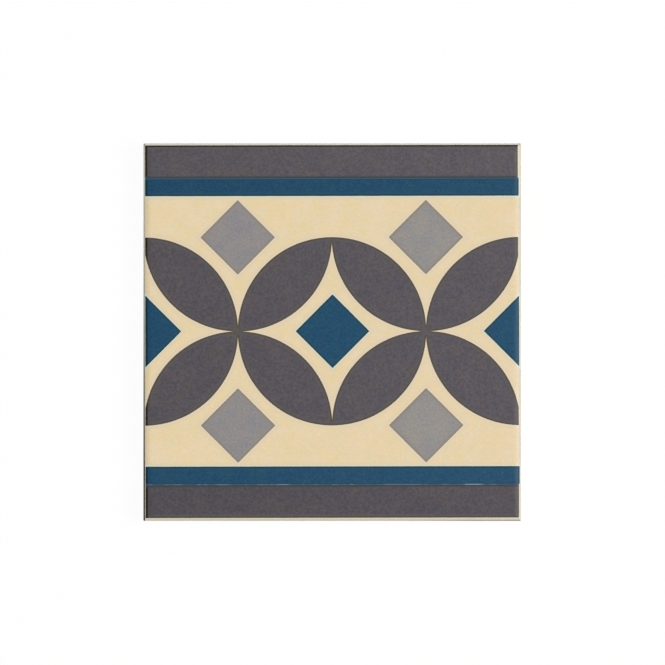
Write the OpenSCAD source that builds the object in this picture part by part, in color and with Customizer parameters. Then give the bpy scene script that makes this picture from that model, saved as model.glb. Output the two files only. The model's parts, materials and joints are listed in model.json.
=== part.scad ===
// Border tile of a Victorian geometric floor: one dust-pressed, glazed and fired piece.
// Lengths are in millimetres. The tile lies face up on its keyed back,
// with the origin at the middle of the bedding face and the border running along X.

/* [Tile body] */
// Side of the square tile, measured across its face
tile_side = 151; // [120:1:200]
// Whole thickness, from the bedding face to the top of the print
tile_thick = 9; // [7:0.5:14]
// Width of the strip along each edge where the face falls away, as on a cushioned tile
cushion_w = 3.3; // [2:0.1:6]
// Radius of that fall
cushion_r = 12; // [8:0.5:30]
// Radius of the arris, where the fall turns down into the side
arris_r = 0.6; // [0.3:0.1:1.2]
// Radius of the four upright corners
corner_r = 0.8; // [0.2:0.1:2]
// Height of the upright land of the side, below the arris
land_h = 3; // [1:0.5:4]
// How far the side leans in between the land and the back, as the die is tapered
side_draft = 0.6; // [0.2:0.1:1.2]
// Chamfer round the bedding face
back_chamfer = 0.5; // [0.2:0.1:1]

/* [Keyed back] */
// Width of a key cell at the bedding face
key_w = 11.8; // [8:0.1:14]
// Width of the ribs between the cells, at the bedding face
key_rib = 2.2; // [1.2:0.1:4]
// Depth of the cells, which the adhesive fills
key_depth = 0.8; // [0.4:0.1:1.5]
// How far each wall of a cell leans in towards its floor
key_taper = 0.4; // [0.1:0.1:1]
// Least width of the plain rim round the cells
key_rim = 5; // [3:0.5:12]

/* [Printed bands] */
// How far the fired colours stand proud of the glaze
print_rise = 0.15; // [0.15:0.05:0.4]
// Bare strip of glaze between the edge of the tile and the print
print_margin = 1.05; // [0.7:0.05:4]
// Width of the charcoal band along the top and bottom edges
outer_band_w = 13.3; // [8:0.1:16]
// Width of the blue band beside it
inner_band_w = 7.1; // [4:0.1:9]

/* [Printed figures] */
// Diameter of the interlaced circles, and the spacing of their centres
circle_d = 75.2; // [50:0.1:78]
// Spread of the ink that joins the petals at their tips
ink_spread = 0.02; // [0.01:0.01:0.2]
// Pale grey diamond, corner to corner
grey_diamond = 29.7; // [16:0.1:36]
// Blue diamond, corner to corner
blue_diamond = 29.4; // [16:0.1:36]
// Bare strip kept along the blue bands, where a figure that would reach them is cut off
figure_gap = 0.5; // [0.2:0.1:1.5]

/* [Register of the screens] */
// How far the whole print lands above the middle of the tile
print_up = 0.32; // [-0.3:0.02:0.36]
// How far the whole print is turned, in degrees
print_turn = 0.1; // [-0.15:0.01:0.15]
// How far the blue screen lands to the right of the charcoal one
blue_right = 0.2; // [-0.2:0.05:0.2]

/* [Hidden] */
$fn = 96;

CREAM = [0.894, 0.812, 0.663];
CHARCOAL = [0.353, 0.333, 0.361];
BLUE = [0.165, 0.310, 0.420];
PALE_GREY = [0.580, 0.565, 0.573];

// How far a cutter or a run reaches past what it cuts
over = 2;
// How far a colour runs over the one beside it, so that the two bands fire into one film
lap = 0.1;

half = tile_side / 2;
face_z = tile_thick - print_rise;
back_half = half - side_draft - back_chamfer;

// Where the flat of the face ends, which is the middle of the cushion's arc too
flat_half = half - cushion_w;
cushion_z = face_z - cushion_r;
// The arris's arc touches the upright side and the inside of the cushion's arc
arris_x = half - arris_r;
arris_z = cushion_z + sqrt(pow(cushion_r - arris_r, 2) - pow(arris_x - flat_half, 2));
// Where the two arcs meet
meet_x = flat_half + (arris_x - flat_half) * cushion_r / (cushion_r - arris_r);
meet_z = cushion_z + (arris_z - cushion_z) * cushion_r / (cushion_r - arris_r);
land_z = arris_z - land_h;

key_pitch = key_w + key_rib;
key_count = floor((2 * (back_half - key_rim) + key_rib) / key_pitch);
key_span = key_count * key_pitch;

print_half = half - print_margin;
// Half the height of the cream field that the bands leave between them
field_half = print_half - outer_band_w - inner_band_w;
outer_band_mid = print_half - outer_band_w / 2;
inner_band_mid = field_half + (inner_band_w + lap) / 2;

circle_r = circle_d / 2;
// Columns of circles that reach the tile, counted each way from the middle
columns = ceil(half / circle_d);

// One side of the tile's cross-section, from the back up to the flat of the face.
function side_line(s) = [
    [s * back_half, 0],
    [s * (back_half + back_chamfer), back_chamfer],
    [s * half, land_z],
    [s * half, arris_z],
    [s * meet_x, meet_z],
    [s * flat_half, face_z]
];

function reversed(list) = [for (i = [len(list) - 1 : -1 : 0]) list[i]];

// The two arcs of the right-hand edge: the slow fall of the cushion and the tight arris.
module edge_arcs() {
    translate([arris_x, arris_z])
        circle(arris_r);
    intersection() {
        translate([flat_half, cushion_z])
            circle(cushion_r);
        translate([flat_half, land_z])
            square([meet_x - flat_half, face_z - land_z]);
    }
}

// Cross-section of the tile: flat back, drafted sides, upright lands and cushioned face.
module section() {
    polygon(concat(side_line(1), reversed(side_line(-1))));
    edge_arcs();
    mirror([1, 0])
        edge_arcs();
}

// The cross-section drawn out along Y, well past the tile.
module section_run() {
    rotate([90, 0, 0])
        linear_extrude(height = tile_side + 2 * over, center = true)
            section();
}

// Outline of the tile from above, with its corners rounded.
module plan() {
    square([tile_side, tile_side - 2 * corner_r], center = true);
    square([tile_side - 2 * corner_r, tile_side], center = true);
    for (x = [-1, 1], y = [-1, 1])
        translate([x * (half - corner_r), y * (half - corner_r)])
            circle(corner_r);
}

// Trapezoidal grooves side by side along Y, one for each column of key cells.
module key_grooves() {
    for (i = [0 : key_count - 1])
        translate([(i + 0.5) * key_pitch - key_span / 2, 0, 0])
            rotate([90, 0, 0])
                linear_extrude(height = key_span, center = true)
                    polygon([
                        [-key_w / 2, -over],
                        [-key_w / 2, 0],
                        [-key_w / 2 + key_taper, key_depth],
                        [key_w / 2 - key_taper, key_depth],
                        [key_w / 2, 0],
                        [key_w / 2, -over]
                    ]);
}

// Grid of shallow cells with leaning walls: what the grooves share with the same ones turned.
module key_cells() {
    intersection() {
        key_grooves();
        rotate([0, 0, 90])
            key_grooves();
    }
}

// What the section run along Y shares with the same one run along X: a square pillow.
module pillow() {
    intersection() {
        section_run();
        rotate([0, 0, 90])
            section_run();
    }
}

// The pressed body: the pillow, trimmed at the corners and keyed at the back.
module pressed_body() {
    difference() {
        intersection() {
            pillow();
            translate([0, 0, -over])
                linear_extrude(height = tile_thick + 2 * over)
                    plan();
        }
        key_cells();
    }
}

// A square stood on its corner, given its size from corner to corner.
module diamond(across) {
    rotate(45)
        square(across / sqrt(2), center = true);
}

// A pair of bands right across the print, at the same distance above and below its middle.
module band_pair(mid, width) {
    for (s = [-1, 1])
        translate([0, s * mid])
            square([2 * print_half, width], center = true);
}

// A leaf-shaped petal: what a circle on the middle line shares with one half a step away.
module petal(column, right, up) {
    intersection() {
        translate([column * circle_d, 0])
            circle(circle_r + ink_spread);
        translate([column * circle_d + right * circle_r, up * circle_r])
            circle(circle_r + ink_spread);
    }
}

// All the petals whose crossing circle stands on the tile.
module petals() {
    for (column = [-columns : columns], right = [-1, 1], up = [-1, 1])
        if (abs(column * circle_d + right * circle_r) < half)
            petal(column, right, up);
}

// Cuts the figures off at the left and right ends of the print, and short of the blue bands.
module trimmed() {
    intersection() {
        children();
        square([2 * print_half, 2 * (field_half - figure_gap)], center = true);
    }
}

// Charcoal screen: the outer bands and the petals.
module charcoal_art() {
    band_pair(outer_band_mid, outer_band_w);
    trimmed()
        petals();
}

// Blue screen: the inner bands, and a diamond in each circle of the middle row.
module blue_art() {
    band_pair(inner_band_mid, inner_band_w + lap);
    trimmed()
        for (column = [-columns : columns])
            translate([column * circle_d, 0])
                diamond(blue_diamond);
}

// Grey screen: a diamond above and below each crossing of the circles.
module grey_art() {
    trimmed()
        for (column = [-columns : columns - 1], up = [-1, 1])
            translate([(column + 0.5) * circle_d, up * circle_r])
                if (abs((column + 0.5) * circle_d) + grey_diamond / 2 < print_half)
                    diamond(grey_diamond);
}

// A fired colour, placed as its screen landed. It is rooted half way down the body that it is
// fused to, and its top follows the cushioned face at an even height.
module fired_colour(right = 0) {
    intersection() {
        translate([0, print_up, tile_thick / 2])
            rotate([0, 0, print_turn])
                translate([right, 0, 0])
                    linear_extrude(height = tile_thick)
                        children();
        translate([0, 0, print_rise])
            pillow();
    }
}

module tile() {
    color(CREAM)
        pressed_body();
    color(CHARCOAL)
        fired_colour()
            charcoal_art();
    color(BLUE)
        fired_colour(blue_right)
            blue_art();
    color(PALE_GREY)
        fired_colour()
            grey_art();
}

tile();
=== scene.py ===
"""Looks of a square glazed border tile with a printed band of interlaced circles and diamonds.

Shapes are worked out in millimetres, in the tile's own frame, and brought to metres at the end.
"""

import json
import logging
import math
from dataclasses import dataclass, field
from enum import Enum
from typing import Iterable, Sequence

import bmesh
import bpy
from mathutils import Euler, Matrix, Vector, noise

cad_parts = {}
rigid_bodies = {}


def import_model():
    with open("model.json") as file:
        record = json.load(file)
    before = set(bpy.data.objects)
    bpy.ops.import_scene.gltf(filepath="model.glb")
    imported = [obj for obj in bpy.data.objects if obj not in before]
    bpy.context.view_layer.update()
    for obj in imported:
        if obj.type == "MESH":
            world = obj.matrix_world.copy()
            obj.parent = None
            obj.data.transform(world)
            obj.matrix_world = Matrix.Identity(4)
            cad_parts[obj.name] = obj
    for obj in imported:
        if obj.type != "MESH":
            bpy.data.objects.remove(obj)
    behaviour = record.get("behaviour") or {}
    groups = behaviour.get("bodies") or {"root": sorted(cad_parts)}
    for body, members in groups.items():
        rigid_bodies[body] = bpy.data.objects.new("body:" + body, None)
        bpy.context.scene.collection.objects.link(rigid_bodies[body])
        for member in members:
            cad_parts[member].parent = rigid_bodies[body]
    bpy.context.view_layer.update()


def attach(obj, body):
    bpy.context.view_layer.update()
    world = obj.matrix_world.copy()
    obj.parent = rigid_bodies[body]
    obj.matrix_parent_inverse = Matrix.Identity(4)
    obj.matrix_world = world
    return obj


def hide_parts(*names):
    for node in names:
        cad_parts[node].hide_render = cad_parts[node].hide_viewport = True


LOG = logging.getLogger("border_tile")

MM = 0.001
# What counts as no distance, in millimetres: between heights, at a cut, to the bedding plane
# and between vertices
NEAR = 0.001
ON_CUT = 1e-5
IN_PLANE = 1e-6
MERGED = 1e-4
Colour = tuple[float, float, float]
Point = tuple[float, float, float]
Pair = tuple[float, float]
BMesh, BMFace = bmesh.types.BMesh, bmesh.types.BMFace
Socket, Material = bpy.types.NodeSocket, bpy.types.Material
Figure = tuple[str, BMesh]
Paint = Colour | Socket


class Coat(Enum):
    """The surfaces of the tile, in the order of its material slots."""

    GLAZE = 0
    CHARCOAL = 1
    BLUE = 2
    PALE_GREY = 3
    EDGE = 4
    CLAY = 5


@dataclass(frozen=True)
class Screen:
    """Where the screen of one colour landed on the tile: millimetres and degrees."""

    right: float
    up: float
    turn: float

    @property
    def angle(self) -> float:
        """The turn in radians."""
        return math.radians(self.turn)

    @property
    def origin(self) -> Point:
        """Where the middle of the screen's drawing lies on the tile."""
        return (self.right * math.cos(self.angle), self.up + self.right * math.sin(self.angle), 0.0)

    @property
    def matrix(self) -> Matrix:
        """The transform from the drawing to the tile."""
        return Matrix.Translation(self.origin) @ Matrix.Rotation(self.angle, 4, "Z")


@dataclass(frozen=True)
class Design:
    """The printed pattern, in millimetres from the middle of the print."""

    print_half: float = 74.45
    outer_band: float = 13.3
    inner_band: float = 7.1
    outer_edges: Pair = (-74.55, 74.43)
    charcoal_ends: Pair = (-74.6, 74.5)
    blue_ends: Pair = (-74.8, 74.59)
    lean: float = 0.002
    seam_drop: float = 0.08
    band_lap: float = 0.1
    circle_d: float = 75.2
    spread: float = 0.02
    grey_diamond: float = 29.7
    blue_diamond: float = 29.4
    charcoal: Screen = Screen(0.0, 0.32, 0.1)
    blue: Screen = Screen(0.2, 0.37, 0.1)
    grey: Screen = Screen(0.0, 0.32, 0.1)

    def ends(self, coat: Coat) -> Pair:
        """Where a screen's print ends on the left and on the right, at the middle line."""
        return self.blue_ends if coat is Coat.BLUE else self.charcoal_ends

    @property
    def circle_r(self) -> float:
        """Radius of the interlaced circles."""
        return self.circle_d / 2

    @property
    def ink_r(self) -> float:
        """Radius at which the ink of a circle ends."""
        return self.circle_r + self.spread

    @property
    def band_line(self) -> float:
        """Height of the line where the charcoal band meets the blue one."""
        return self.print_half - self.outer_band

    @property
    def field_half(self) -> float:
        """Half the height of the cream field between the blue bands."""
        return self.band_line - self.inner_band


class Wire:
    """A number in a shader: arithmetic on it adds Math nodes."""

    def __init__(self, graph: "Graph", socket: Socket) -> None:
        """Keeps the graph and the output socket."""
        self.graph = graph
        self.socket = socket

    def _math(self, operation: str, *values: "Wire | float") -> "Wire":
        """Adds one Math node, with the values in its sockets in order, and returns its result."""
        made = self.graph.node("ShaderNodeMath", {"operation": operation}, dict(enumerate(values)))
        return Wire(self.graph, made.outputs[0])

    def __add__(self, other: "Wire | float") -> "Wire":
        """self + other"""
        return self._math("ADD", self, other)

    __radd__ = __add__

    def __sub__(self, other: "Wire | float") -> "Wire":
        """self - other"""
        return self._math("SUBTRACT", self, other)

    def __rsub__(self, other: float) -> "Wire":
        """other - self"""
        return self._math("SUBTRACT", other, self)

    def __mul__(self, other: "Wire | float") -> "Wire":
        """self * other"""
        return self._math("MULTIPLY", self, other)

    __rmul__ = __mul__

    def __neg__(self) -> "Wire":
        """-self"""
        return self._math("MULTIPLY", self, -1.0)

    def __abs__(self) -> "Wire":
        """abs(self)"""
        return self._math("ABSOLUTE", self)

    def __pow__(self, other: float) -> "Wire":
        """self ** other"""
        return self._math("POWER", self, other)

    def least(self, other: "Wire | float") -> "Wire":
        """The smaller of the two."""
        return self._math("MINIMUM", self, other)

    def most(self, other: "Wire | float") -> "Wire":
        """The larger of the two."""
        return self._math("MAXIMUM", self, other)

    def fade(self, start: float, end: float) -> "Wire":
        """Goes smoothly from 0 where this number is start to 1 where it is end.

        Args:
            start: Where the result is 0.
            end: Where the result is 1. It may be smaller than start.

        Returns:
            The smooth step, from 0 to 1.
        """
        low, high = (0.0, 1.0) if start < end else (1.0, 0.0)
        sockets = {
            "Value": self,
            "From Min": min(start, end),
            "From Max": max(start, end),
            "To Min": low,
            "To Max": high,
        }
        settings = {"data_type": "FLOAT", "interpolation_type": "SMOOTHSTEP", "clamp": True}
        return Wire(self.graph, self.graph.node("ShaderNodeMapRange", settings, sockets).outputs[0])


class Graph:
    """The node tree of one material, with the tile's coordinates in millimetres."""

    def __init__(self, name: str) -> None:
        """Starts an empty material.

        Args:
            name: Its name.
        """
        self.material = bpy.data.materials.new(name)
        self.material.use_nodes = True
        self.tree = self.material.node_tree
        self.tree.nodes.clear()
        coordinates = self.node("ShaderNodeTexCoord", {}, {}).outputs["Object"]
        self.place = self.vector("SCALE", coordinates, Scale=1 / MM)
        self.x, self.y, self.z = self.split(self.place)

    def node(self, kind: str, settings: dict, sockets: dict) -> bpy.types.Node:
        """Adds a node.

        Args:
            kind: The node's type.
            settings: Its properties, which are set first.
            sockets: Values, sockets or wires for its inputs, by name, identifier or number.

        Returns:
            The node.
        """
        made = self.tree.nodes.new(kind)
        for key, value in settings.items():
            setattr(made, key, value)
        for key, value in sockets.items():
            socket = self._input(made, key)
            if isinstance(value, Wire):
                self.tree.links.new(value.socket, socket)
            elif isinstance(value, Socket):
                self.tree.links.new(value, socket)
            else:
                socket.default_value = value
        return made

    @staticmethod
    def _input(made: bpy.types.Node, key: str | int) -> Socket:
        """Finds an input by its number, identifier or name."""
        if isinstance(key, int):
            return made.inputs[key]
        return next((s for s in made.inputs if s.identifier == key), None) or made.inputs[key]

    def vector(self, operation: str, first: Socket, **sockets: object) -> Socket:
        """Adds a Vector Math node on a vector, with its other inputs by name, and returns its result."""
        made = self.node("ShaderNodeVectorMath", {"operation": operation}, {0: first, **sockets})
        return made.outputs["Vector"]

    def split(self, vector: Socket) -> tuple[Wire, Wire, Wire]:
        """The three numbers of a vector."""
        parts = self.node("ShaderNodeSeparateXYZ", {}, {0: vector}).outputs
        return Wire(self, parts[0]), Wire(self, parts[1]), Wire(self, parts[2])

    def on_screen(self, screen: Screen) -> tuple[Wire, Wire]:
        """Places a point in the drawing of one colour.

        Args:
            screen: Where that colour landed.

        Returns:
            The point's distance to the right of the drawing's middle, and above it.
        """
        sockets = {"Vector": self.place, "Location": screen.origin, "Rotation": (0.0, 0.0, screen.angle)}
        mapped = self.node("ShaderNodeMapping", {"vector_type": "TEXTURE"}, sockets).outputs["Vector"]
        across, above, _ = self.split(mapped)
        return across, above

    def cloud(self, size: float, detail: float = 2, seed: float = 0, stretch: Point = (1, 1, 1)) -> Wire:
        """Soft noise from about 0 to 1, with a mean of a half.

        Args:
            size: Size of the patches, in millimetres.
            detail: Octaves of finer noise on them.
            seed: Moves to another part of the noise.
            stretch: Scale of the pattern along each axis.

        Returns:
            The noise.
        """
        sockets = {"Vector": self.place, "Location": (seed, seed * 0.7, seed * 1.3), "Scale": stretch}
        moved = self.node("ShaderNodeMapping", {"vector_type": "POINT"}, sockets).outputs["Vector"]
        sockets = {"Vector": moved, "Scale": 1 / size, "Detail": detail, "Roughness": 0.55}
        return Wire(self, self.node("ShaderNodeTexNoise", {"noise_dimensions": "3D"}, sockets).outputs[0])

    def specks(self, spacing: float, radius: float, seed: float) -> Wire:
        """Sparse round specks.

        Args:
            spacing: Mean distance between them, in millimetres.
            radius: Radius of the largest, in millimetres.
            seed: Moves to another part of the pattern.

        Returns:
            1 in the middle of a speck and 0 away from it.
        """
        moved = self.vector("ADD", self.place, **{"Vector_001": (seed, seed, 0.0)})
        sockets = {"Vector": moved, "Scale": 1 / spacing, "Randomness": 1.0}
        cells = self.node("ShaderNodeTexVoronoi", {"voronoi_dimensions": "3D"}, sockets)
        return Wire(self, cells.outputs["Distance"]).fade(radius / spacing, 0.3 * radius / spacing)

    def mix(self, factor: Wire | float, first: Paint, second: Paint, blend: str = "MIX") -> Socket:
        """Blends two colours.

        Args:
            factor: 0 for the first colour and 1 for the second.
            first: A colour or a colour socket.
            second: A colour or a colour socket.
            blend: How the second colour acts on the first.

        Returns:
            The blended colour.
        """
        sockets = {"Factor_Float": factor, "A_Color": self._rgba(first), "B_Color": self._rgba(second)}
        settings = {"data_type": "RGBA", "blend_type": blend, "clamp_factor": True}
        outputs = self.node("ShaderNodeMix", settings, sockets).outputs
        return next(s for s in outputs if s.identifier == "Result_Color")

    def tinted(self, colour: Paint, factor: Wire, least: Colour, most: Colour) -> Socket:
        """Multiplies a colour by a tint that goes from least, where the factor is 0, to most at 1."""
        return self.mix(1.0, colour, self.mix(factor, least, most), "MULTIPLY")

    def blend(self, factor: Wire, first: Socket, second: Socket) -> Socket:
        """Blends two shaders, from the first at 0 to the second at 1."""
        return self.node("ShaderNodeMixShader", {}, {0: factor, 1: first, 2: second}).outputs[0]

    @staticmethod
    def _rgba(value: Paint) -> tuple[float, ...] | Socket:
        """Gives a plain colour its alpha, and leaves a socket as it is."""
        return (*value, 1.0) if isinstance(value, tuple) else value

    def bump(self, height: Wire, depth: float) -> Socket:
        """Bends the normal by a height, of which 1 stands for the depth in millimetres."""
        sockets = {"Strength": 1.0, "Distance": depth * MM, "Height": height}
        return self.node("ShaderNodeBump", {}, sockets).outputs["Normal"]

    def shader(self, **sockets: object) -> Socket:
        """Adds a Principled shader, with the inputs given by their names with spaces as underscores."""
        named = {key.replace("_", " "): value for key, value in sockets.items()}
        return self.node("ShaderNodeBsdfPrincipled", {}, named).outputs["BSDF"]

    def done(self, surface: Socket) -> Material:
        """Connects the finished surface and returns the material."""
        self.node("ShaderNodeOutputMaterial", {}, {"Surface": surface})
        return self.material


WHITE: Colour = (1.0, 1.0, 1.0)
BLACK: Colour = (0.0, 0.0, 0.0)
# How far the bands are taken to run on, so that no outline is drawn along their seam
SEAM_CLEARANCE = 4.0
# Where the lower seam is bare: from, to, and how much of it shows
BARE_SEAM = ((53.0, 60.0, 0.62), (-22.4, -17.2, 0.36), (-46.4, -41.4, 0.26), (20.8, 35.6, 0.2))
# Small chips of the arris and its corners: middle, radius and how dark they are
CHIPS = (
    (-74.95, 74.95, 0.3, 0.75),
    (75.2, 74.85, 0.26, 0.5),
    (-74.95, -74.5, 0.3, 0.8),
    (73.7, 74.0, 0.22, 0.5),
)


class Outlines:
    """How deep a point of the tile lies inside the printed figures, worked out in the shader."""

    # Distances from a point where petals touch, between which their outline fades out
    tip_fade = (2.2, 0.9)

    def __init__(self, graph: Graph, design: Design) -> None:
        """Places the tile's coordinates in the drawing of each screen.

        Args:
            graph: The material's graph.
            design: The printed pattern.
        """
        self.design = design
        self.charcoal_at = graph.on_screen(design.charcoal)
        self.blue_at = graph.on_screen(design.blue)
        self.grey_at = graph.on_screen(design.grey)

    def _folded(self, at: tuple[Wire, Wire]) -> tuple[Wire, Wire]:
        """A point's distances from the middle of the nearest circle, along and across the row."""
        radius = self.design.circle_r
        return radius - abs(abs(at[0]) - radius), abs(at[1])

    def left_end(self, coat: Coat) -> Wire:
        """Depth inside the left end of a screen's print."""
        along, _ = self.blue_at if coat is Coat.BLUE else self.charcoal_at
        return along - self.design.ends(coat)[0]

    def right_end(self, coat: Coat) -> Wire:
        """Depth inside the right end of a screen's print, which leans a little."""
        along, above = self.blue_at if coat is Coat.BLUE else self.charcoal_at
        return self.design.ends(coat)[1] - along - above * self.design.lean

    def _inside_ends(self, coat: Coat) -> Wire:
        """Depth inside both ends of a screen's print."""
        return self.left_end(coat).least(self.right_end(coat))

    @staticmethod
    def _reach(along: Wire, across: Wire) -> Wire:
        """Length of the two sides' diagonal."""
        return (along * along + across * across) ** 0.5

    def petals(self) -> Wire:
        """Measures the depth inside the petals, taken as deep where their tips have run together.

        Returns:
            The depth.
        """
        d = self.design
        along, across = self._folded(self.charcoal_at)
        over, above = d.circle_r - along, d.circle_r - across
        side_tip = self._reach(over, across).fade(*self.tip_fade)
        top_tip = self._reach(along, above).fade(*self.tip_fade)
        inside_middle = d.ink_r - self._reach(along, across) + side_tip
        inside_crossing = d.ink_r - self._reach(over, above) + side_tip + top_tip
        return inside_middle.least(inside_crossing).least(self._inside_ends(Coat.CHARCOAL))

    def outer_bands(self, past: float = 0.0) -> Wire:
        """Depth inside the charcoal bands.

        Args:
            past: How far they are taken to run on past the line where they meet the blue ones.

        Returns:
            The depth.
        """
        d = self.design
        above = self.charcoal_at[1]
        low, high = d.outer_edges
        inside = (high - above).least(above - low).least(abs(above) - (d.band_line - past))
        return inside.least(self._inside_ends(Coat.CHARCOAL))

    def inner_bands(self, past: float = 0.0) -> Wire:
        """Depth inside the blue bands.

        Args:
            past: How far they are taken to run on past the line where they meet the charcoal ones.

        Returns:
            The depth.
        """
        d = self.design
        height = abs(self.blue_at[1])
        inside = (d.band_line + past - height).least(height - d.field_half)
        return inside.least(self._inside_ends(Coat.BLUE))

    def past_seam(self) -> Wire:
        """Distance past the seam of the charcoal and blue bands, away from the middle."""
        return abs(self.charcoal_at[1] + self.design.seam_drop) - self.design.band_line

    def dark(self) -> Wire:
        """Depth inside the charcoal and grey figures."""
        return self.outer_bands().most(self.petals()).most(self.grey_diamonds())

    def blue(self) -> Wire:
        """Depth inside the blue figures."""
        return self.inner_bands().most(self.blue_diamonds())

    def blue_diamonds(self) -> Wire:
        """Depth inside the blue diamonds."""
        along, across = self._folded(self.blue_at)
        inside = (self.design.blue_diamond / 2 - along - across) * math.sqrt(0.5)
        return inside.least(self._inside_ends(Coat.BLUE))

    def grey_diamonds(self) -> Wire:
        """Depth inside the grey diamonds."""
        d = self.design
        along, across = self._folded(self.grey_at)
        inside = d.grey_diamond / 2 - (d.circle_r - along) - abs(d.circle_r - across)
        return inside * math.sqrt(0.5)


@dataclass(frozen=True)
class EnamelFinish:
    """A fired screen-printed colour: a satin film with a darker line along its outline."""

    name: str
    coat: Coat
    # The film's colour at the left and right ends; the right is lighter, a painted sheen of the light
    # from the right
    left: Colour
    right: Colour
    rim: Colour
    thin: Colour
    seed: float
    mottle: float
    warm: Colour
    cool: Colour
    end: Colour = BLACK
    seam: Colour = (0.20, 0.30, 0.40)
    seam_shade: Colour = (0.034, 0.051, 0.072)
    upper_band: float = 0.0
    lower_band: float = 0.0
    rim_share: float = 0.9
    rim_depth: Pair = (0.9, 0.58)
    thin_from: Pair = (0.6, 0.9)
    thin_to: Pair = (1.7, 1.0)
    thin_share: float = 0.55
    end_depth: Pair = (1.0, 0.7)
    end_fade: Pair = (2.8, 0.9)
    top_depth: Pair = (0.76, 0.56)
    right_depth: Pair = (0.78, 0.6)
    seam_above: Pair = (1.35, 0.4)
    seam_below: Pair = (-0.8, -0.3)
    hair_depth: Pair = (0.27, 0.08)
    hair_share: float = 0.17
    bare_blur: float = 1.5
    patch: float = 2.7
    grain: float = 0.85
    broad: float = 9.0
    pin_share: float = 0.5
    bare: Colour = (0.36, 0.43, 0.49)
    fleck: Colour = (0.45, 0.42, 0.36)
    roughness: float = 0.42
    specular: float = 0.3

    def make(self, design: Design) -> Material:
        """Builds the material.

        Args:
            design: The printed pattern.

        Returns:
            The material.
        """
        g = Graph(self.name)
        outlines = Outlines(g, design)
        grain = g.cloud(self.grain, 3, self.seed + 31).fade(0.28, 0.72)
        colour = self._film(g, design, grain)
        colour = self._outlined(g, outlines, colour)
        if self.coat is not Coat.PALE_GREY:
            colour = self._seamed(g, outlines, colour)
        colour = g.mix(g.specks(23.0, 0.22, self.seed) * self.pin_share, colour, self.fleck)
        rough = g.cloud(1.3, 2, self.seed + 53) * 0.14 + (self.roughness - 0.07)
        height = grain * 0.35 + g.cloud(2.6, 2, self.seed + 3) * 0.65
        normal = g.bump(height, 0.006)
        return g.done(
            g.shader(Base_Color=colour, Roughness=rough, Specular_IOR_Level=self.specular, Normal=normal)
        )

    def _film(self, g: Graph, design: Design, grain: Wire) -> Socket:
        """Paints the film: its drift across the tile, lighter towards the right as a painted sheen, its
        patches and its grain.

        Args:
            g: The material's graph.
            design: The printed pattern.
            grain: Fine noise from 0 to 1.

        Returns:
            The colour.
        """
        half = design.print_half
        # Lighter towards the right: painted sheen of the light from the right
        colour = g.mix(g.x.fade(-half, half), self.left, self.right)
        for share, side in ((self.upper_band, 1), (self.lower_band, -1)):
            if share:
                shade = WHITE if share > 0 else BLACK
                in_band = g.y.fade(side * design.field_half * 0.95, side * design.field_half)
                colour = g.mix(in_band * abs(share), colour, shade)
        broad = g.cloud(self.broad, 2, self.seed + 17).fade(0.36, 0.64)
        colour = g.tinted(colour, broad, (0.95, 0.97, 1.01), (1.05, 1.03, 0.99))
        patches = g.cloud(self.patch, 3, self.seed).fade(0.34, 0.66)
        colour = g.tinted(colour, patches, self.cool, self.warm)
        return g.tinted(colour, grain, (1 - self.mottle,) * 3, (1 + self.mottle,) * 3)

    def _depth(self, outlines: Outlines) -> Wire:
        """Measures the depth inside the figures of this colour, and takes no notice of the seam.

        Args:
            outlines: The printed figures.

        Returns:
            The depth.
        """
        if self.coat is Coat.CHARCOAL:
            return outlines.petals().most(outlines.outer_bands(SEAM_CLEARANCE))
        if self.coat is Coat.BLUE:
            return outlines.blue_diamonds().most(outlines.inner_bands(SEAM_CLEARANCE))
        return outlines.grey_diamonds()

    def _outlined(self, g: Graph, outlines: Outlines, colour: Socket) -> Socket:
        """Adds the line along the outline, the thin ink behind it and the dark ends.

        Args:
            g: The material's graph.
            outlines: The printed figures.
            colour: The colour of the film.

        Returns:
            The colour with its lines.
        """
        depth = self._depth(outlines)
        thin = depth.fade(*self.thin_from) * depth.fade(*self.thin_to) * self.thin_share
        colour = g.mix(thin, colour, self.thin)
        ragged = g.cloud(2.4, 2, self.seed + 7).fade(0.25, 0.75) * 0.25 + 0.75
        colour = g.mix(depth.fade(*self.rim_depth) * ragged * self.rim_share, colour, self.rim)
        if self.coat is Coat.PALE_GREY:
            return colour
        left = outlines.left_end(self.coat)
        dark = left.fade(*self.end_depth).most(left.fade(*self.end_fade) * 0.16)
        if self.coat is Coat.CHARCOAL:
            top = outlines.design.outer_edges[1] - outlines.charcoal_at[1]
            dark = dark.most(top.fade(*self.top_depth) * 0.85)
        else:
            right = outlines.right_end(self.coat)
            dark = dark.most(right.fade(*self.right_depth) * abs(g.y).fade(30.0, 50.0) * 0.9)
        return g.mix(dark * (ragged * 0.6 + 0.4), colour, self.end)

    def _seamed(self, g: Graph, outlines: Outlines, colour: Socket) -> Socket:
        """Adds the seam of charcoal and blue: a pale hair in a dark line, bare in places below.

        Args:
            g: The material's graph.
            outlines: The printed figures.
            colour: The colour so far.

        Returns:
            The colour with the seam.
        """
        past = outlines.past_seam()
        shade = past.fade(*self.seam_above) * past.fade(*self.seam_below)
        colour = g.mix(shade * 0.95, colour, self.seam_shade)
        hair = abs(past).fade(*self.hair_depth)
        colour = g.mix(hair * self.hair_share, colour, self.seam)
        bare = g.cloud(3.0, 2, 5.0, (1.0, 0.02, 0.02)).fade(0.5, 0.66) * 0.22
        blur = self.bare_blur
        for start, end, share in BARE_SEAM:
            along = g.x.fade(start - blur, start + blur) * g.x.fade(end + blur, end - blur)
            bare = bare.most(along * share)
        return g.mix(bare * hair * g.y.fade(10.0, -10.0), colour, self.bare)


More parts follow.
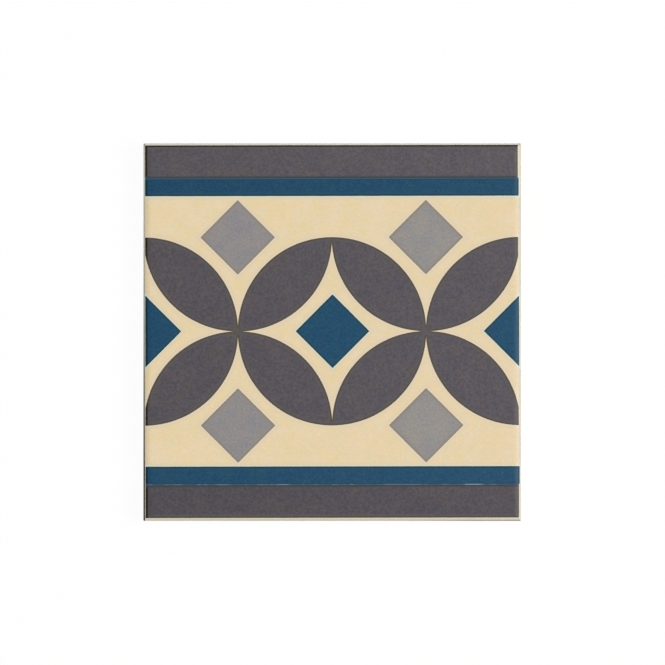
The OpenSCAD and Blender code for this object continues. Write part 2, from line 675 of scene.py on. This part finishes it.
@dataclass(frozen=True)
class GlazeFinish:
    """The cream glaze of the face, paler along the print and thin towards the arris, with painted shade
    towards the right, over the cushion and along the arris.
    """

    name: str = "cream_glaze"
    # Darker towards the right: painted shade that evens out the stronger light from the right
    left: Colour = (0.797, 0.650, 0.407)
    right: Colour = (0.783, 0.638, 0.406)
    warm: Colour = (1.012, 0.990, 0.955)
    cool: Colour = (0.988, 1.006, 1.04)
    yellow: Colour = (0.990, 0.992, 0.962)
    pink: Colour = (1.010, 1.004, 1.036)
    halo: Colour = (0.740, 0.612, 0.425)
    edge: Colour = (0.752, 0.645, 0.480)
    blue_edge: Colour = (0.705, 0.640, 0.462)
    blue_rim: Colour = (0.650, 0.690, 0.590)
    # Thin glaze at the arris; each side also carries its own painted light or shade
    thin_and_shade_above: Colour = (0.605, 0.585, 0.495)
    thin_and_shade_below: Colour = (0.565, 0.540, 0.440)
    thin_and_shade_right: tuple[Colour, Colour] = ((0.530, 0.470, 0.350), (0.480, 0.435, 0.320))
    thin_and_shade_left: Colour = (0.690, 0.600, 0.420)
    beside_dark: Colour = (1.030, 1.070, 1.170)
    beside_blue: Colour = (0.930, 1.210, 1.560)
    brink_left: Colour = (0.930, 0.920, 0.880)
    # Dark for the painted shade along the arris, and for the chips and specks
    shade_chip_and_speck: Colour = (0.040, 0.033, 0.020)
    halo_depth: Pair = (-2.0, -0.9)
    edge_depth: Pair = (-0.85, -0.5)
    blue_edge_depth: Pair = (-1.05, -0.7)
    blue_rim_depth: Pair = (-0.6, -0.35)
    margin_from: Pair = (1.24, 0.72)
    margin_share: float = 0.97
    mottle: float = 0.028
    roughness: float = 0.40

    def colour(self, g: Graph, design: Design, tile: "PressedBody") -> Socket:
        """Paints the glaze.

        Args:
            g: The material's graph.
            design: The printed pattern.
            tile: The pressed body under the glaze.

        Returns:
            The colour.
        """
        half = tile.side / 2
        # Darker towards the right: painted shade against the stronger light from the right
        colour = g.mix(g.x.fade(-half, half), self.left, self.right)
        colour = g.tinted(colour, g.cloud(9.0, 2, 13).fade(0.36, 0.64), self.yellow, self.pink)
        colour = g.tinted(colour, g.cloud(3.6, 2, 17).fade(0.36, 0.64), self.cool, self.warm)
        grain = g.cloud(0.9, 2, 29).fade(0.28, 0.72)
        colour = g.tinted(colour, grain, (1 - self.mottle,) * 3, (1 + self.mottle,) * 3)
        # Painted shade over the cushion at the left and right edges, where the face falls away from the
        # light
        fall = abs(g.x).fade(half - tile.cushion_w, half - 1.3)
        colour = g.tinted(colour, fall, WHITE, (0.925, 0.925, 0.94))
        outlines = Outlines(g, design)
        colour = self._haloed(g, outlines, colour)
        margin = reach_of(g).fade(*(half - inwards for inwards in self.margin_from))
        # The thin glaze of the margin, with painted light and shade that differ by side
        colour = g.mix(margin * self.margin_share, colour, self._thin_and_shade(g, half))
        for depth, tint in ((outlines.dark(), self.beside_dark), (outlines.blue(), self.beside_blue)):
            colour = g.tinted(colour, margin * depth.fade(-0.75, -0.35), WHITE, tint)
        # Painted shade along the arris, darkest at the lower left where the side faces away from the
        # light
        colour = g.mix(self._arris_shade(g, half), colour, self.shade_chip_and_speck)
        for x, y, radius, share in CHIPS:
            across, above = g.x - x, g.y - y
            chip = (across * across + above * above).fade(radius**2, 0.0)
            colour = g.mix(chip * share, colour, self.shade_chip_and_speck)
        return colour

    def _haloed(self, g: Graph, outlines: Outlines, colour: Socket) -> Socket:
        """Adds the paler strip of glaze along the printed figures.

        Args:
            g: The material's graph.
            outlines: The printed figures.
            colour: The colour so far.

        Returns:
            The colour with its strips.
        """
        dark, blue = outlines.dark(), outlines.blue()
        strength = g.cloud(3.0, 1, 23) * 0.3 + 0.7
        strips = (
            (dark.most(blue), self.halo_depth, self.halo),
            (dark, self.edge_depth, self.edge),
            (blue, self.blue_edge_depth, self.blue_edge),
            (blue, self.blue_rim_depth, self.blue_rim),
        )
        for depth, ends, strip in strips:
            colour = g.mix(depth.fade(*ends) * strength, colour, strip)
        return colour

    def _thin_and_shade(self, g: Graph, half: float) -> Socket:
        """The colour of the thin glaze at the arris, with painted light and shade that differ side by
        side.

        Args:
            g: The material's graph.
            half: Half the side of the tile.

        Returns:
            The colour.
        """
        colour = g.mix(g.y.fade(-10.0, 10.0), self.thin_and_shade_below, self.thin_and_shade_above)
        right = g.mix(g.y.fade(-60.0, 60.0), *self.thin_and_shade_right)
        colour = g.mix(g.x.fade(half - 1.3, half - 0.7), colour, right)
        colour = g.mix((-g.x).fade(half - 1.3, half - 0.9), colour, self.thin_and_shade_left)
        return g.mix((-g.x).fade(half - 0.5, half - 0.2), colour, self.brink_left)

    def _arris_shade(self, g: Graph, half: float) -> Wire:
        """The painted shade along the arris, where its side faces away from the light: strongest at the
        lower left and faint elsewhere.

        Args:
            g: The material's graph.
            half: Half the side of the tile.

        Returns:
            How much of the painted shade shows.
        """
        ragged = g.cloud(1.6, 2, 41) * 0.16 - 0.08
        line = abs(ragged - g.x - (half - 0.48)).fade(0.33, 0.18)
        left = line * (g.y.fade(74.0, -74.0) * 0.66 + 0.24 + g.y.fade(-50.0, -58.0) * 0.2)
        brink = (ragged - g.x).fade(half - 0.42, half - 0.2) * g.y.fade(40.0, -55.0) * 0.96
        below = (ragged - g.y).fade(half - 0.45, half - 0.1) * (g.x.fade(22.0, 62.0) * 0.9 + 0.03)
        return left.most(brink).most(below)

    def make(self, design: Design, tile: "PressedBody") -> Material:
        """Builds the material of the face.

        Args:
            design: The printed pattern.
            tile: The pressed body under the glaze.

        Returns:
            The material.
        """
        g = Graph(self.name)
        colour = self.colour(g, design, tile)
        colour = g.mix(g.specks(31.0, 0.2, 9.0) * 0.35, colour, self.shade_chip_and_speck)
        return g.done(self.surface(g, colour))

    def surface(self, g: Graph, colour: Socket) -> Socket:
        """The glossy part of the glaze: a satin film with slight waves and pinholes.

        Args:
            g: The material's graph.
            colour: Its colour.

        Returns:
            The shader.
        """
        rough = g.cloud(2.0, 2, 61) * 0.1 + (self.roughness - 0.05)
        height = g.cloud(3.4, 3, 67) * 0.8 + g.cloud(0.5, 1, 71) * 0.2 - g.specks(4.5, 0.12, 3.0) * 0.6
        return g.shader(Base_Color=colour, Roughness=rough, Normal=g.bump(height, 0.008))


def reach_of(g: Graph) -> Wire:
    """The larger of a point's distances from the tile's two middle lines."""
    return abs(g.x).most(abs(g.y))


@dataclass(frozen=True)
class ClayFinish:
    """Bare pressed clay, matt and slightly open-grained."""

    name: str = "bare_clay"
    clay: Colour = (0.56, 0.40, 0.26)
    dark: Colour = (0.42, 0.29, 0.18)
    pale: Colour = (0.68, 0.53, 0.38)
    roughness: float = 0.85

    def surface(self, g: Graph) -> Socket:
        """Builds the clay's shader in a material.

        Args:
            g: The material's graph.

        Returns:
            The shader.
        """
        colour = g.mix(g.cloud(9.0, 3, 83).fade(0.35, 0.65), self.clay, self.pale)
        colour = g.mix(g.cloud(0.45, 2, 89).fade(0.5, 0.72) * 0.5, colour, self.dark)
        pores = g.specks(1.1, 0.16, 13.0)
        # The pores are painted darker: painted shade in the pits, which the bump also sinks
        colour = g.mix(pores * 0.6, colour, self.dark)
        height = g.cloud(0.3, 3, 97) - pores * 0.8
        rough = g.cloud(1.0, 1, 101) * 0.1 + (self.roughness - 0.05)
        return g.shader(Base_Color=colour, Roughness=rough, Normal=g.bump(height, 0.05))

    def make(self) -> Material:
        """Builds the material of the back."""
        g = Graph(self.name)
        return g.done(self.surface(g))


@dataclass(frozen=True)
class EdgeFinish:
    """The sides, where the glaze runs over the arris and ends in a ragged line on bare clay."""

    glaze: GlazeFinish
    clay: ClayFinish
    name: str = "glaze_run"
    run: float = 1.1

    def make(self, design: Design, tile: "PressedBody") -> Material:
        """Builds the material.

        Args:
            design: The printed pattern.
            tile: The pressed body.

        Returns:
            The material.
        """
        g = Graph(self.name)
        glaze = self.glaze.surface(g, self.glaze.colour(g, design, tile))
        line = g.z + g.cloud(7.0, 3, 103) * 2.2 + g.cloud(1.2, 2, 107) * 0.5
        end = tile.arris_z - self.run + 1.35
        bare = line.fade(end + 0.12, end - 0.12)
        return g.done(g.blend(bare, glaze, self.clay.surface(g)))


@dataclass
class PressedBody:
    """The pressed clay body: keyed back, drafted sides and a cushioned face, in millimetres."""

    side: float = 151.0
    thick: float = 9.0
    print_rise: float = 0.15
    cushion_w: float = 3.3
    cushion_r: float = 12.0
    arris_r: float = 0.6
    corner_r: float = 0.45
    land_h: float = 3.0
    side_draft: float = 0.6
    back_chamfer: float = 0.5
    key_w: float = 11.8
    key_rib: float = 2.2
    key_depth: float = 0.8
    key_taper: float = 0.4
    key_count: int = 10
    key_edge: float = 0.12
    facing_up: float = 0.9
    facing_down: float = -0.1
    corner_steps: int = 5
    cushion_steps: int = 9
    arris_steps: int = 5

    @property
    def half(self) -> float:
        """Half the side."""
        return self.side / 2

    @property
    def face_z(self) -> float:
        """Height of the flat of the glazed face."""
        return self.thick - self.print_rise

    @property
    def flat_half(self) -> float:
        """Half the width of the flat of the face."""
        return self.half - self.cushion_w

    @property
    def cushion_z(self) -> float:
        """Height of the centre of the cushion's arc."""
        return self.face_z - self.cushion_r

    @property
    def arris_x(self) -> float:
        """Distance of the centre of the arris's arc from the middle."""
        return self.half - self.arris_r

    @property
    def arris_z(self) -> float:
        """Height of the centre of the arris's arc, where the upright land ends."""
        reach = self.arris_x - self.flat_half
        return self.cushion_z + math.sqrt((self.cushion_r - self.arris_r) ** 2 - reach**2)

    @property
    def meet_x(self) -> float:
        """Distance from the middle at which the cushion's arc meets the arris's."""
        share = self.cushion_r / (self.cushion_r - self.arris_r)
        return self.flat_half + (self.arris_x - self.flat_half) * share

    def surface_z(self, reach: float) -> float:
        """Height of the glazed face.

        Args:
            reach: The larger of a point's distances from the two middle lines.

        Returns:
            The height there.
        """
        if reach <= self.flat_half:
            return self.face_z
        if reach <= self.meet_x:
            return self.cushion_z + math.sqrt(self.cushion_r**2 - (reach - self.flat_half) ** 2)
        out = min(reach - self.arris_x, self.arris_r)
        return self.arris_z + math.sqrt(self.arris_r**2 - out**2)

    def loops(self) -> list[float]:
        """Places the loops of edges that let the face fall away.

        Returns:
            Their distances from the middle.
        """
        step = (self.meet_x - self.flat_half) / self.cushion_steps
        falls = [self.flat_half + i * step for i in range(self.cushion_steps + 1)]
        first = math.asin((self.meet_x - self.arris_x) / self.arris_r)
        turn = (math.pi / 2 - first) / self.arris_steps
        angles = [first + i * turn for i in range(1, self.arris_steps)]
        return falls + [self.arris_x + self.arris_r * math.sin(angle) for angle in angles]

    def build(self) -> BMesh:
        """Models the body with a flat face, ready for the print.

        Returns:
            The body's mesh.
        """
        bm = flat_square(self.half)
        rounded(bm, bm.verts[:], self.corner_r, self.corner_steps, "VERTICES")
        back_half = self.half - self.side_draft - self.back_chamfer
        self._widen(bm, bm.verts, back_half / self.half)
        top = bm.faces[:][0]
        levels = [
            (self.back_chamfer, (back_half + self.back_chamfer) / back_half),
            (self.arris_z - self.land_h, self.half / (back_half + self.back_chamfer)),
            (self.face_z, 1.0),
        ]
        height = 0.0
        for level, widening in levels:
            spent = [top] if height else []
            raised = bmesh.ops.extrude_face_region(bm, geom=[top])["geom"]
            bmesh.ops.delete(bm, geom=spent, context="FACES_ONLY")
            top = next(f for f in raised if isinstance(f, BMFace))
            bmesh.ops.translate(bm, verts=top.verts[:], vec=(0, 0, level - height))
            self._widen(bm, top.verts, widening)
            height = level
        bmesh.ops.recalc_face_normals(bm, faces=bm.faces[:])
        for face in bm.faces:
            face.material_index = Coat.EDGE.value
        self._key(bm)
        for face in bm.faces:
            height, turned = face.calc_center_median().z, face.normal.z
            if height < self.back_chamfer * 2 and turned < self.facing_down:
                face.material_index = Coat.CLAY.value
            elif turned > self.facing_up and height > self.face_z - NEAR:
                face.material_index = Coat.GLAZE.value
        return bm

    @staticmethod
    def _widen(bm: BMesh, verts: Iterable[bmesh.types.BMVert], share: float) -> None:
        """Scales some vertices across the tile."""
        bmesh.ops.scale(bm, verts=list(verts), vec=(share, share, 1))

    def _key(self, bm: BMesh) -> None:
        """Presses the grid of key cells into the back.

        Args:
            bm: The body's mesh.
        """
        pitch = self.key_w + self.key_rib
        span = self.key_count * pitch / 2
        for axis in ((1, 0, 0), (0, 1, 0)):
            for i in range(self.key_count + 1):
                back = self._back_faces(bm)
                at = Vector(axis) * (i * pitch - span)
                bmesh.ops.bisect_plane(bm, geom=whole(back), dist=ON_CUT, plane_co=at, plane_no=axis)
        cells = [f for f in self._back_faces(bm) if max(abs(c) for c in f.calc_center_median().xy) < span]
        for width, depth in ((self.key_rib / 2, 0.0), (self.key_taper, -self.key_depth)):
            bmesh.ops.inset_individual(
                bm, faces=cells, thickness=width, depth=depth, use_even_offset=True
            )
        walls = [wall for cell in cells for edge in cell.edges for wall in edge.link_faces]
        edges = dict.fromkeys(edge for wall in walls for edge in wall.edges)
        rounded(bm, list(edges), self.key_edge, 2)

    @staticmethod
    def _back_faces(bm: BMesh) -> list[BMFace]:
        """The faces that lie in the bedding plane."""
        return [f for f in bm.faces if all(abs(v.co.z) < IN_PLANE for v in f.verts)]


def flat_square(half: float) -> BMesh:
    """A square face on the middle, given half its side."""
    bm = bmesh.new()
    bmesh.ops.create_grid(bm, x_segments=1, y_segments=1, size=half)
    return bm


def rounded(bm: BMesh, geom: list, width: float, steps: int, affect: str = "EDGES") -> None:
    """Bevels some edges, or some corners of a flat drawing.

    Args:
        bm: The mesh.
        geom: The edges or vertices.
        width: Width of the bevel, in millimetres.
        steps: Its number of segments.
        affect: EDGES or VERTICES.
    """
    bmesh.ops.bevel(
        bm,
        geom=geom,
        offset=width,
        offset_type="OFFSET",
        segments=steps,
        profile=0.5,
        affect=affect,
        material=-1,
    )


def mesh_of(name: str, bm: BMesh, materials: Iterable[Material]) -> bpy.types.Mesh:
    """Turns a drawing into a mesh and uses it up.

    Args:
        name: Name of the mesh.
        bm: The drawing.
        materials: The materials of its slots.

    Returns:
        The mesh.
    """
    mesh = bpy.data.meshes.new(name)
    bm.to_mesh(mesh)
    bm.free()
    for material in materials:
        mesh.materials.append(material)
    return mesh


def in_scene(name: str, data: bpy.types.ID) -> bpy.types.Object:
    """Makes an object and links it to the scene."""
    made = bpy.data.objects.new(name, data)
    bpy.context.scene.collection.objects.link(made)
    return made


def whole(faces: Iterable[BMFace]) -> list:
    """Some faces with their edges and vertices.

    Args:
        faces: The faces.

    Returns:
        All three kinds of element, each once.
    """
    parts: dict = {}
    for face in faces:
        parts[face] = None
        parts.update(dict.fromkeys(face.edges))
        parts.update(dict.fromkeys(face.verts))
    return list(parts)


@dataclass
class Printing:
    """The fired colours as raised figures, drawn flat and pressed up out of the glaze."""

    design: Design
    face_z: float
    root: float = 0.6
    wobble: float = 0.028
    wobble_size: float = 3.2
    shoulder: float = 0.05
    step: float = 0.9
    wobble_apart: float = 7.3
    corner_turn: float = math.radians(20)
    arc_steps: int = 84
    heights: dict[Coat, float] = field(
        default_factory=lambda: {Coat.CHARCOAL: 0.136, Coat.PALE_GREY: 0.143, Coat.BLUE: 0.150}
    )
    nib: dict[Coat, float] = field(
        default_factory=lambda: {Coat.CHARCOAL: 0.06, Coat.PALE_GREY: 0.16, Coat.BLUE: 0.16}
    )

    def figures(self) -> list[Figure]:
        """Makes every printed figure as a closed mesh.

        Returns:
            Each figure's name and mesh.
        """
        made = []
        for side in (-1, 1):
            made.append(self._band(f"outer_band_{side}", Coat.CHARCOAL, side))
            made.append(self._band(f"inner_band_{side}", Coat.BLUE, side))
        d = self.design
        for right in (-1, 1):
            for up in (-1, 1):
                crossing = Vector((right * d.circle_r, up * d.circle_r, 0))
                made.append(self._petal(Vector((0, 0, 0)), crossing))
                made.append(self._petal(Vector((right * d.circle_d, 0, 0)), crossing))
                made.append(self._diamond(Coat.PALE_GREY, d.grey_diamond, crossing))
        for column in (-1, 0, 1):
            made.append(self._diamond(Coat.BLUE, d.blue_diamond, Vector((column * d.circle_d, 0, 0))))
        return made

    def _screen(self, coat: Coat) -> Screen:
        """The screen that prints a colour."""
        d = self.design
        return {Coat.CHARCOAL: d.charcoal, Coat.BLUE: d.blue, Coat.PALE_GREY: d.grey}[coat]

    def _band(self, name: str, coat: Coat, side: int) -> Figure:
        """Draws one band across the print.

        Args:
            name: Name of the figure.
            coat: Its colour, which says which band it is.
            side: 1 for the top of the tile and -1 for the bottom.

        Returns:
            The figure.
        """
        d = self.design
        low, high = d.band_line, abs(d.outer_edges[(side + 1) // 2])
        if coat is Coat.BLUE:
            low, high = d.field_half, d.band_line + d.band_lap
        bm = flat_square(1)
        bmesh.ops.scale(bm, verts=bm.verts[:], vec=(d.circle_d, (high - low) / 2, 1))
        bmesh.ops.translate(bm, verts=bm.verts[:], vec=(0, side * (low + high) / 2, 0))
        return self._raised(name, coat, bm)

    def _diamond(self, coat: Coat, across: float, centre: Vector) -> Figure:
        """Draws a square stood on its corner.

        Args:
            coat: Its colour.
            across: Its size from corner to corner.
            centre: Its middle in the drawing.

        Returns:
            The figure.
        """
        bm = bmesh.new()
        bmesh.ops.create_circle(bm, segments=4, radius=across / 2, cap_ends=True)
        bmesh.ops.translate(bm, verts=bm.verts[:], vec=centre)
        return self._raised(f"diamond_{coat.name.lower()}", coat, bm)

    def _petal(self, middle: Vector, crossing: Vector) -> Figure:
        """Draws the leaf that two circles share.

        Args:
            middle: Centre of the circle on the middle line.
            crossing: Centre of the circle half a step away.

        Returns:
            The figure.
        """
        radius = self.design.ink_r
        apart = crossing - middle
        half_chord = math.sqrt(radius**2 - (apart.length / 2) ** 2)
        aside = Vector((-apart.y, apart.x, 0)).normalized() * half_chord
        halfway = (middle + crossing) / 2
        turn = 2 * math.asin(half_chord / radius)
        bm = bmesh.new()
        for centre, start in ((middle, halfway - aside), (crossing, halfway + aside)):
            tip = bm.verts.new(start)
            bmesh.ops.spin(
                bm,
                geom=[tip],
                cent=centre,
                axis=(0, 0, 1),
                dvec=(0, 0, 0),
                angle=turn,
                steps=self.arc_steps,
                use_merge=False,
                use_normal_flip=False,
                use_duplicate=False,
            )
        bmesh.ops.remove_doubles(bm, verts=bm.verts[:], dist=NEAR)
        bmesh.ops.contextual_create(bm, geom=bm.edges[:])
        return self._raised("petal", Coat.CHARCOAL, bm)

    def _trim(self, coat: Coat, bm: BMesh) -> None:
        """Cuts a flat drawing off at the left and right ends of its screen's print.

        Args:
            coat: Its colour.
            bm: The drawing.
        """
        left, right = self.design.ends(coat)
        for end, outwards in ((left, Vector((-1, 0, 0))), (right, Vector((1, self.design.lean, 0)))):
            bmesh.ops.bisect_plane(
                bm,
                geom=whole(bm.faces),
                dist=ON_CUT,
                plane_co=(end, 0, 0),
                plane_no=outwards.normalized(),
                clear_outer=True,
            )

    def _raised(self, name: str, coat: Coat, bm: BMesh) -> Figure:
        """Trims a flat drawing, roughens its outline and raises it.

        Args:
            name: Name of the figure.
            coat: Its colour.
            bm: The flat drawing.

        Returns:
            The figure as a closed mesh.
        """
        self._trim(coat, bm)
        sharp = [v for v in bm.verts if v.calc_edge_angle(0.0) > self.corner_turn]
        rounded(bm, sharp, self.nib[coat], 3, "VERTICES")
        for edge in bm.edges[:]:
            cuts = int(edge.calc_length() / self.step)
            if cuts:
                bmesh.ops.bisect_edges(bm, edges=[edge], cuts=cuts)
        bmesh.ops.transform(bm, matrix=self._screen(coat).matrix, verts=bm.verts[:])
        self._roughen(bm, coat)
        bmesh.ops.translate(bm, verts=bm.verts[:], vec=(0, 0, self.face_z - self.root))
        raised = bmesh.ops.extrude_face_region(bm, geom=bm.faces[:])["geom"]
        top = next(f for f in raised if isinstance(f, BMFace))
        lift = self.root + self.heights[coat]
        bmesh.ops.translate(bm, verts=top.verts[:], vec=(0, 0, lift))
        bmesh.ops.recalc_face_normals(bm, faces=bm.faces[:])
        rounded(bm, top.edges[:], self.shoulder, 2)
        for face in bm.faces:
            face.material_index = coat.value
        return name, bm

    def _roughen(self, bm: BMesh, coat: Coat) -> None:
        """Makes an outline waver a little, as a screen print's does.

        Args:
            bm: The flat drawing.
            coat: Its colour, which has waves of its own.
        """
        for vert in bm.verts:
            at = vert.co / self.wobble_size + Vector((0, 0, self.wobble_apart * coat.value))
            shift = noise.noise_vector(at) * self.wobble
            vert.co += Vector((shift.x, shift.y, 0))


@dataclass
class BorderTile:
    """The whole tile as one fused solid."""

    design: Design
    body: PressedBody
    printing: Printing
    materials: Sequence[Material]
    name: str = "border_tile"
    sharp_angle: float = math.radians(50)

    def _fused(self) -> BMesh:
        """Fuses the print with the body.

        Returns:
            The mesh of both.
        """
        body = in_scene("pressed_body", mesh_of("pressed_body", self.body.build(), self.materials))
        figures = bpy.data.collections.new("printed_figures")
        bpy.context.scene.collection.children.link(figures)
        for name, figure in self.printing.figures():
            mesh = mesh_of(name, figure, self.materials)
            figures.objects.link(bpy.data.objects.new(name, mesh))
        union = body.modifiers.new("fuse", "BOOLEAN")
        union.operation, union.solver, union.material_mode = "UNION", "EXACT", "INDEX"
        union.operand_type = "COLLECTION"
        union.collection = figures
        fused = body.evaluated_get(bpy.context.evaluated_depsgraph_get())
        bm = bmesh.new()
        bm.from_mesh(fused.to_mesh())
        fused.to_mesh_clear()
        for spent in [*figures.objects, body]:
            bpy.data.meshes.remove(spent.data)
        bpy.data.collections.remove(figures)
        return bm

    def _cushion(self, bm: BMesh) -> None:
        """Lets the face fall away along its edges, with the print on it.

        Args:
            bm: The fused mesh.
        """
        for axis in (Vector((1, 0, 0)), Vector((0, 1, 0))):
            for side in (-1, 1):
                for loop in self.body.loops():
                    self._cut(bm, axis * side * loop, axis, self.body.flat_half - 1)
        for across in (-1, 1):
            self._cut(bm, Vector((0, 0, 0)), Vector((1, across, 0)), self.body.flat_half, corners=True)
        for vert in bm.verts:
            if vert.co.z > self.body.face_z - NEAR:
                reach = max(abs(vert.co.x), abs(vert.co.y))
                vert.co.z -= self.body.face_z - self.body.surface_z(reach)

    def _cut(self, bm: BMesh, at: Vector, along: Vector, past: float, corners: bool = False) -> None:
        """Adds a line of edges to the face near the tile's edges.

        Args:
            bm: The fused mesh.
            at: A point of the cutting plane.
            along: The plane's normal.
            past: How far out a face has to reach to be cut.
            corners: Whether it has to reach that far along both axes.
        """
        near = []
        for face in bm.faces:
            if min(v.co.z for v in face.verts) < self.body.face_z - NEAR:
                continue
            reaches = [max(abs(v.co[i]) for v in face.verts) for i in (0, 1)]
            if (min(reaches) if corners else max(reaches)) > past + NEAR:
                near.append(face)
        bmesh.ops.bisect_plane(bm, geom=whole(near), dist=ON_CUT, plane_co=at, plane_no=along)

    def build(self) -> bpy.types.Object:
        """Models the tile and puts it in the scene.

        Returns:
            The tile's object.
        """
        bm = self._fused()
        self._cushion(bm)
        bmesh.ops.remove_doubles(bm, verts=bm.verts[:], dist=MERGED)
        bmesh.ops.dissolve_degenerate(bm, dist=ON_CUT, edges=bm.edges[:])
        open_edges = sum(not e.is_manifold for e in bm.edges)
        LOG.info("%s: %d faces, %d open edges", self.name, len(bm.faces), open_edges)
        for face in bm.faces:
            face.smooth = True
        bmesh.ops.scale(bm, verts=bm.verts[:], vec=(MM, MM, MM))
        tile = in_scene(self.name, mesh_of(self.name, bm, self.materials))
        tile.data.set_sharp_from_angle(angle=self.sharp_angle)
        weighted = tile.modifiers.new("even_shading", "WEIGHTED_NORMAL")
        weighted.mode = "FACE_AREA"
        weighted.keep_sharp = True
        return tile


@dataclass(frozen=True)
class Softbox:
    """A square area light that looks at the tile."""

    name: str
    place: Point
    size: float
    power: float

    def build(self) -> bpy.types.Object:
        """Hangs the light.

        Returns:
            The light's object.
        """
        light = bpy.data.lights.new(self.name, "AREA")
        light.shape = "SQUARE"
        light.size = self.size
        light.energy = self.power
        lamp = in_scene(self.name, light)
        lamp.location = self.place
        lamp.rotation_euler = (-Vector(self.place)).to_track_quat("-Z", "Y").to_euler()
        return lamp


@dataclass
class Studio:
    """A white floor, soft light that comes mostly from the right, and a camera that looks down."""

    face_z: float
    view_width: float = 0.2658
    lens: float = 150.0
    sensor: float = 36.0
    clip_end: float = 60.0
    aside: Pair = (0.00016, -0.00016)
    floor_half: float = 14.0
    floor_albedo: float = 0.04
    floor_glow: float = 0.955
    surround: float = 0.15
    boxes: tuple[Softbox, ...] = (
        Softbox("key_right", (4.2, 0.0, 4.4), 2.6, 355.0),
        Softbox("fill_left", (-4.4, 0.0, 4.2), 2.6, 37.0),
        Softbox("fill_top", (0.0, 4.3, 4.3), 2.6, 37.0),
        Softbox("fill_bottom", (0.0, -4.3, 4.3), 2.6, 37.0),
    )

    def build(self) -> None:
        """Sets up the floor, the light and the camera."""
        self._floor()
        for box in self.boxes:
            box.build()
        world = bpy.data.worlds.new("studio")
        world.use_nodes = True
        background = world.node_tree.nodes["Background"]
        background.inputs["Color"].default_value = (1, 1, 1, 1)
        background.inputs["Strength"].default_value = self.surround
        scene = bpy.context.scene
        scene.world = world
        scene.view_settings.view_transform = "Standard"
        scene.view_settings.look = "None"
        scene.view_settings.exposure = 0
        scene.view_settings.gamma = 1
        self._camera()

    def _floor(self) -> None:
        """Lays the white floor."""
        g = Graph("studio_white")
        white = (self.floor_albedo,) * 3 + (1.0,)
        surface = g.shader(
            Base_Color=white,
            Roughness=1.0,
            Specular_IOR_Level=0.0,
            Emission_Color=(1.0, 1.0, 1.0, 1.0),
            Emission_Strength=self.floor_glow,
        )
        floor = in_scene("floor", mesh_of("floor", flat_square(self.floor_half), [g.done(surface)]))

    def _camera(self) -> None:
        """Hangs the camera over the tile."""
        data = bpy.data.cameras.new("camera")
        data.lens = self.lens
        data.sensor_width = self.sensor
        data.clip_end = self.clip_end
        camera = in_scene("camera", data)
        height = self.face_z * MM + self.view_width * self.lens / self.sensor
        camera.location = (*self.aside, height)
        camera.rotation_euler = Euler((0, 0, 0))
        bpy.context.scene.camera = camera


def finishes(design: Design, body: PressedBody) -> list[Material]:
    """Makes the tile's materials.

    Args:
        design: The printed pattern.
        body: The pressed body.

    Returns:
        The materials in the order of the tile's slots.
    """
    charcoal = EnamelFinish(
        name="charcoal_enamel",
        coat=Coat.CHARCOAL,
        left=(0.0888, 0.0784, 0.0889),
        right=(0.0968, 0.0855, 0.0988),
        rim=(0.087, 0.070, 0.050),
        thin=(0.118, 0.100, 0.083),
        end=(0.007, 0.006, 0.004),
        seed=3.0,
        mottle=0.19,
        warm=(1.03, 1.0, 0.97),
        cool=(0.972, 0.995, 1.025),
        upper_band=0.005,
        lower_band=-0.11,
        rim_share=0.85,
    )
    blue = EnamelFinish(
        name="blue_enamel",
        coat=Coat.BLUE,
        left=(0.0086, 0.0622, 0.1266),
        right=(0.0102, 0.0685, 0.1367),
        rim=(0.014, 0.045, 0.052),
        thin=(0.017, 0.073, 0.138),
        end=(0.0, 0.019, 0.033),
        seed=11.0,
        mottle=0.19,
        warm=(1.23, 1.045, 0.99),
        cool=(0.78, 0.96, 1.015),
        seam_shade=(0.018, 0.050, 0.075),
        upper_band=-0.06,
        lower_band=0.002,
        end_depth=(1.2, 0.65),
    )
    grey = EnamelFinish(
        name="pale_grey_enamel",
        coat=Coat.PALE_GREY,
        left=(0.2610, 0.2455, 0.2515),
        right=(0.2890, 0.2730, 0.2600),
        rim=(0.262, 0.222, 0.172),
        thin=(0.285, 0.255, 0.222),
        seed=19.0,
        mottle=0.10,
        warm=(1.035, 1.01, 0.985),
        cool=(0.965, 0.99, 1.015),
    )
    glaze, clay = GlazeFinish(), ClayFinish()
    made = {
        Coat.GLAZE: glaze.make(design, body),
        Coat.CHARCOAL: charcoal.make(design),
        Coat.BLUE: blue.make(design),
        Coat.PALE_GREY: grey.make(design),
        Coat.EDGE: EdgeFinish(glaze, clay).make(design, body),
        Coat.CLAY: clay.make(),
    }
    return [made[coat] for coat in Coat]


def corners(bounds: Iterable[Iterable[float]]) -> list[list[float]]:
    """A box's two corners as plain lists of numbers."""
    return [[float(c) for c in corner] for corner in bounds]


def main() -> None:
    """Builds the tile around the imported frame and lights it."""
    logging.basicConfig(level=logging.INFO, format="%(name)s: %(message)s")
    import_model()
    design = Design()
    body = PressedBody()
    Studio(face_z=body.face_z).build()
    printing = Printing(design, body.face_z)
    tile = BorderTile(design, body, printing, finishes(design, body)).build()
    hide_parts("tile")
    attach(tile, "root")


if __name__ == "__main__":
    main()
